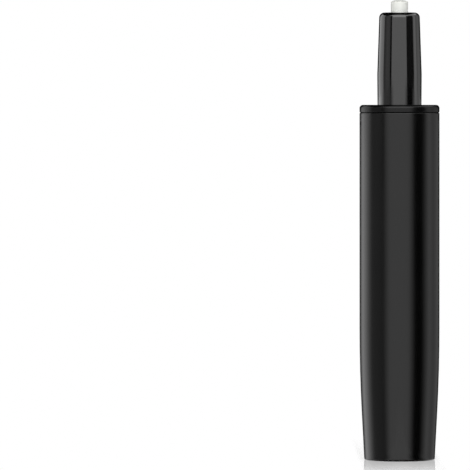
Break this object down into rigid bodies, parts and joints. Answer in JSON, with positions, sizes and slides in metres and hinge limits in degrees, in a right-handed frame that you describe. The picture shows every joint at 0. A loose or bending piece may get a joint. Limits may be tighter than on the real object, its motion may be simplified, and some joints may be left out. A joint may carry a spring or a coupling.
{
  "type": "chair gas lift cylinder",
  "caption": "Telescoping chair gas lift: a tapered black column with a sliding, swivelling gas spring inside, a seat taper on top and a push-button release valve.",
  "frame": {"origin": "centre of the column's foot, on the plane of the foot's lower edge", "axes": "+Z along the lift's axis, from the foot to the release button; +X through the middle of one of the two pairs of stakes"},
  "size_m": [0.05, 0.05, 0.2875],
  "materials": {
    "column_paint": "satin black powder coat",
    "spindle_paint": "glossy black lacquer",
    "bush_plastic": "satin black moulded plastic",
    "button_nylon": "white moulded nylon",
    "plate_steel": "zinc-plated pressed steel",
    "bearing_steel": "ground steel",
    "clip_steel": "blued spring steel",
    "rod_chrome": "hard chrome, ground",
    "body_aluminium": "turned aluminium",
    "cage_brass": "machined brass",
    "seal_rubber": "matt black rubber",
    "natural_plastic": "natural moulded plastic"
  },
  "bodies": {
    "column": {"outer_tube": "column_paint", "guide_bush": "bush_plastic", "base_plate": "plate_steel", "lower_race": "bearing_steel"},
    "cage": {"ball_cage": "cage_brass", "bearing_balls": "bearing_steel"},
    "rod": {"piston_rod": "rod_chrome", "upper_race": "bearing_steel", "bumper": "seal_rubber", "thrust_washer": "plate_steel", "retaining_clip": "clip_steel", "piston": "body_aluminium", "piston_seal": "seal_rubber", "piston_washer": "plate_steel"},
    "cylinder": {"spindle_tube": "spindle_paint", "rod_guide": "body_aluminium", "guide_liner": "cage_brass", "rod_seal": "seal_rubber", "seal_keeper": "natural_plastic", "centring_ring": "natural_plastic", "inner_tube": "bearing_steel", "valve_body": "body_aluminium", "body_seal": "seal_rubber", "valve_seals": "seal_rubber", "valve_spacer": "cage_brass", "valve_bush": "natural_plastic", "valve_retainer": "plate_steel"},
    "release": {"valve_pin": "bearing_steel", "release_button": "button_nylon"}
  },
  "joints": [
    {"name": "swivel", "type": "hinge", "parent": "column", "child": "rod", "pos_m": [0, 0, 0.02065], "axis": [0, 0, 1], "continuous": true},
    {"name": "cage_turn", "type": "hinge", "parent": "column", "child": "cage", "pos_m": [0, 0, 0.01632], "axis": [0, 0, 1], "continuous": true},
    {"name": "lift", "type": "slide", "parent": "rod", "child": "cylinder", "axis": [0, 0, 1], "range_m": [0, 0.12]},
    {"name": "press", "type": "slide", "parent": "cylinder", "child": "release", "axis": [0, 0, -1], "range_m": [0, 0.004], "stiffness_N_per_m": 20000}
  ],
  "couplings": [
    {"joint": "cage_turn", "follows": "swivel", "ratio": 0.5}
  ]
}
